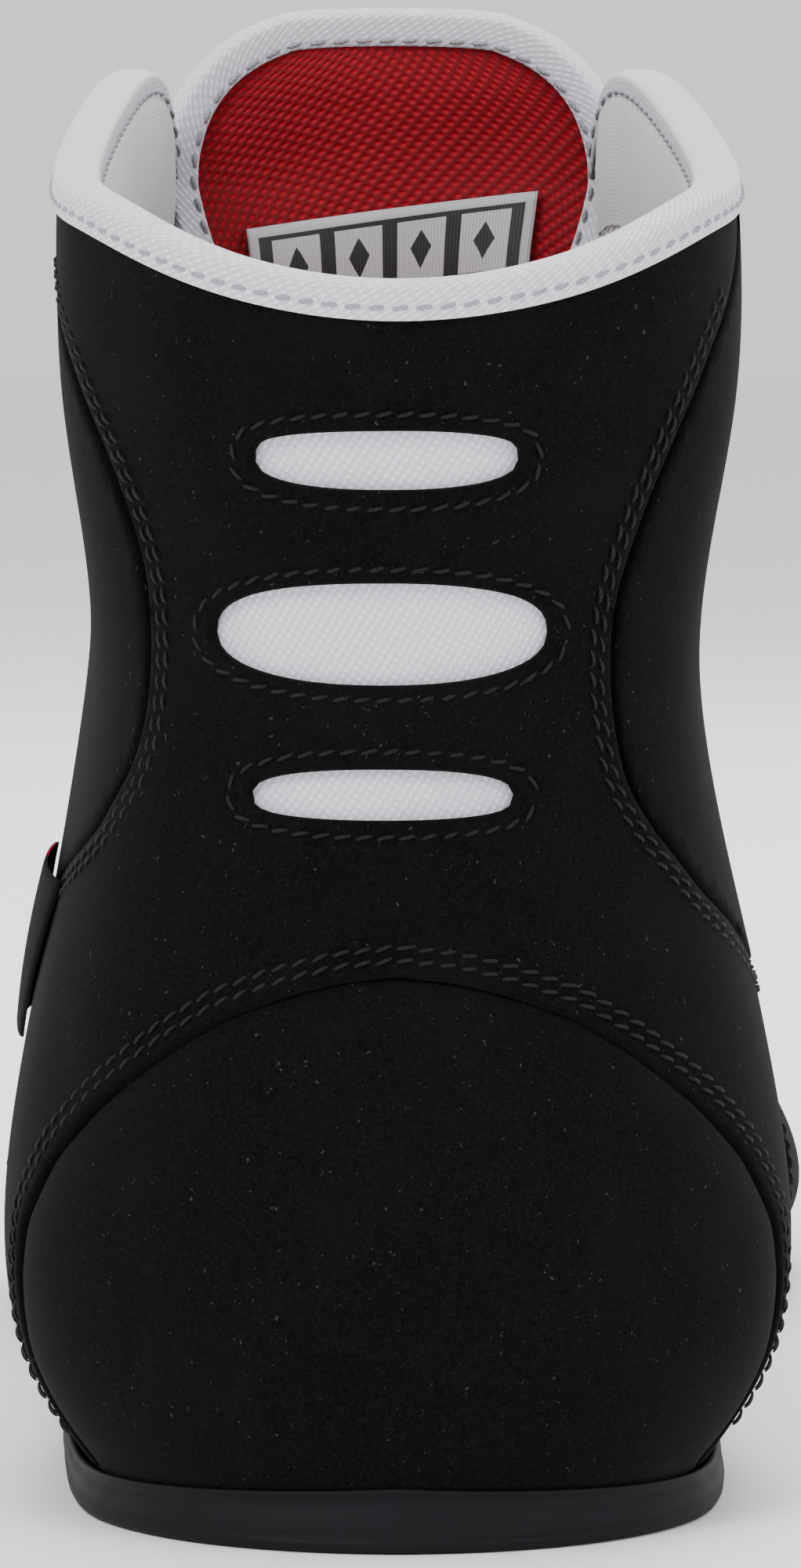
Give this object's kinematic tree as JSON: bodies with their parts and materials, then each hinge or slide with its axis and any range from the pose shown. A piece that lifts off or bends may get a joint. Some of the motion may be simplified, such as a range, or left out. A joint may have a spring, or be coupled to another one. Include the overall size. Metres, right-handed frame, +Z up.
{
  "type": "boxing boot",
  "caption": "Left mid-height boxing boot with a suede upper, three windows at the back, a padded collar, a tongue and a thin flexible rubber sole.",
  "frame": {"origin": "on the ground under the middle of the sole's length, on the boot's centre line", "axes": "+Z up, +Y to the toe, +X to the medial (inner) side of a left foot"},
  "size_m": [0.0967, 0.2862, 0.153],
  "materials": {
    "rubber_sole": "satin",
    "foam": "matte",
    "board": "matte",
    "steel": "satin",
    "footbed": "matte",
    "black_suede": "matte nap",
    "counter_board": "matte",
    "white_mesh": "fine knit",
    "eyelet_metal": "satin black",
    "white_tape": "woven",
    "white_lining": "smooth",
    "red_lining": "knit",
    "red_mesh": "coarse knit",
    "tag_cloth": "woven",
    "tongue_cloth": "woven",
    "label_cloth": "woven satin",
    "lace_cord": "braided",
    "elastic": "ribbed"
  },
  "bodies": {
    "boot": {"outsole_rear": "rubber_sole", "midsole_rear": "foam", "shank": "steel", "strobel_board_rear": "board", "insole_rear": "footbed", "back_panel": "black_suede", "heel_cap": "black_suede", "heel_counter": "counter_board", "window_mesh": "white_mesh", "quarter_lateral": "black_suede", "quarter_medial": "black_suede", "eyestay_lateral": "black_suede", "eyestay_medial": "black_suede", "eyelets_lateral": "eyelet_metal", "eyelets_medial": "eyelet_metal", "collar_tape": "white_tape", "collar_foam": "foam", "collar_lining": "white_lining", "lining_rear": "red_lining", "side_tag": "tag_cloth", "vamp_crease": "black_suede", "lining_crease": "red_lining", "tongue_lower": "tongue_cloth", "tongue_foam_lower": "foam", "tongue_lining_lower": "red_mesh", "lace": "lace_cord", "lace_keeper": "elastic"},
    "forefoot": {"outsole_front": "rubber_sole", "midsole_front": "foam", "strobel_board_front": "board", "insole_front": "footbed", "vamp": "black_suede", "toe_cap": "black_suede", "toe_puff": "counter_board", "lining_toe": "red_lining"},
    "tongue_top": {"tongue_upper": "tongue_cloth", "tongue_foam_upper": "foam", "tongue_lining_upper": "red_mesh", "tongue_tape": "white_tape", "tongue_label": "label_cloth"}
  },
  "joints": [
    {"name": "forefoot_flex", "type": "hinge", "parent": "boot", "child": "forefoot", "pos_m": [0, 0.0465, 0.011], "axis": [1, 0, 0], "range_deg": [0, 30], "stiffness_Nm_per_rad": 3, "deforming": ["vamp_crease", "lining_crease"]},
    {"name": "tongue_flap", "type": "hinge", "parent": "boot", "child": "tongue_top", "pos_m": [0, -0.0393, 0.128], "axis": [-1, 0, 0], "range_deg": [0, 45], "stiffness_Nm_per_rad": 0.08}
  ]
}
